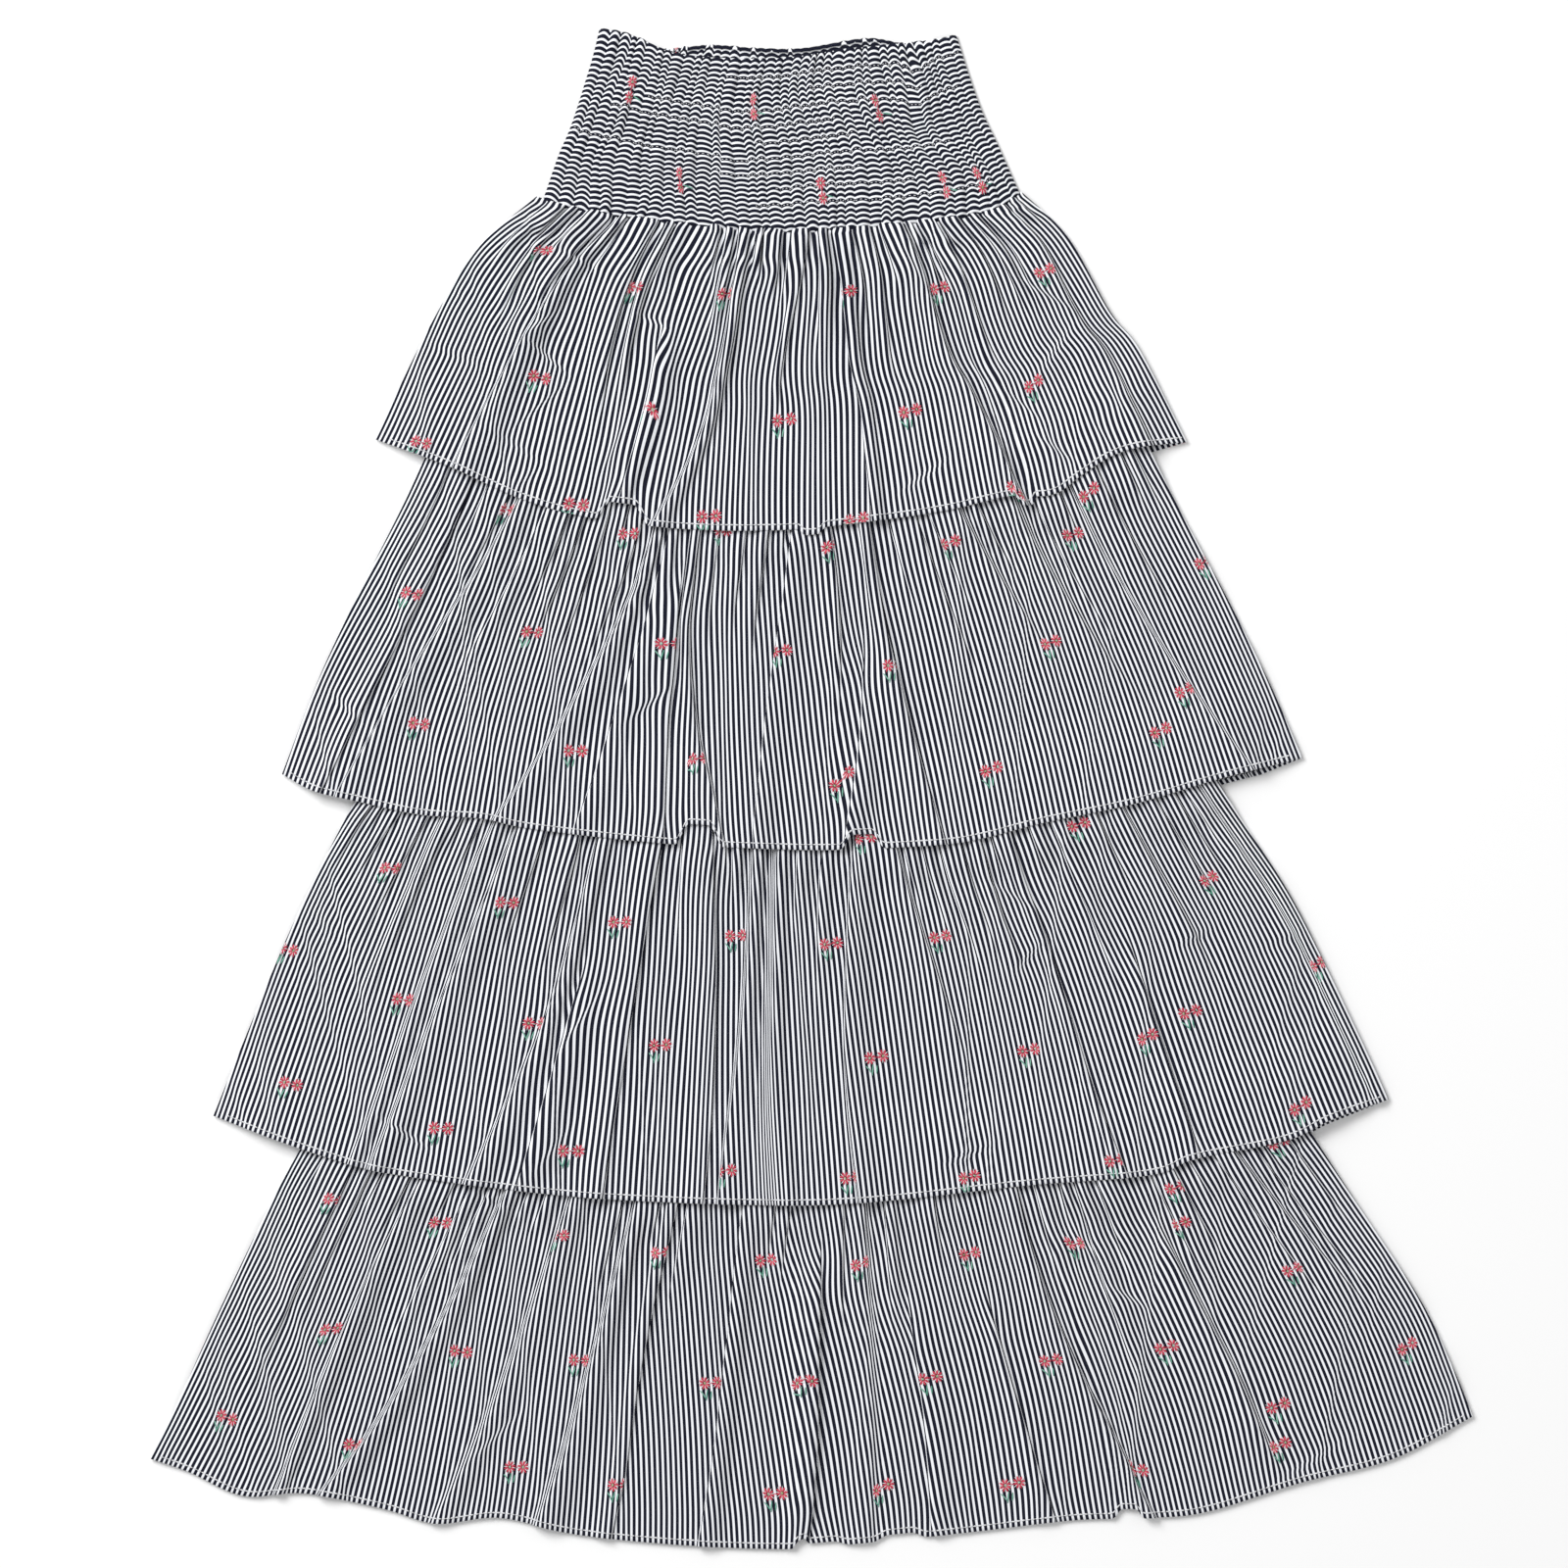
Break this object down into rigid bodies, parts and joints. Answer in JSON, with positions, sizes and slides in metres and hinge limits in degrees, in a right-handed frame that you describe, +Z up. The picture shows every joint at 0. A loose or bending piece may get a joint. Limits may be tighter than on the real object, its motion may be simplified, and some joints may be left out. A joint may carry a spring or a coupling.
{
  "type": "layered skirt",
  "caption": "Long tiered skirt laid flat: shirred waistband over gathered tiers of striped cotton, front and back walls lying on each other.",
  "frame": {"origin": "middle of the skirt's box, on the surface that it lies on", "axes": "+Y up the skirt towards the waist, +X to the right as the front is seen, +Z up from the surface"},
  "size_m": [0.8082, 0.93, 0.013],
  "materials": {
    "striped_cotton": "crisp yarn-dyed poplin, dark navy and white stripes down the tiers, matt",
    "shirred_cotton": "the same poplin turned so that its stripes run across, puckered by rows of elastic thread",
    "red_thread": "satin-stitched embroidery thread with a soft sheen",
    "green_thread": "stem and leaf stitches in embroidery thread",
    "white_thread": "sewing thread of the hems and seams"
  },
  "bodies": {
    "root": {"yoke_front": "shirred_cotton", "yoke_back": "shirred_cotton", "tier_1_front": "striped_cotton", "tier_1_back": "striped_cotton", "tier_2_front": "striped_cotton", "tier_2_back": "striped_cotton", "tier_3_front": "striped_cotton", "tier_3_back": "striped_cotton", "tier_4_front": "striped_cotton", "tier_4_back": "striped_cotton"}
  },
  "joints": []
}
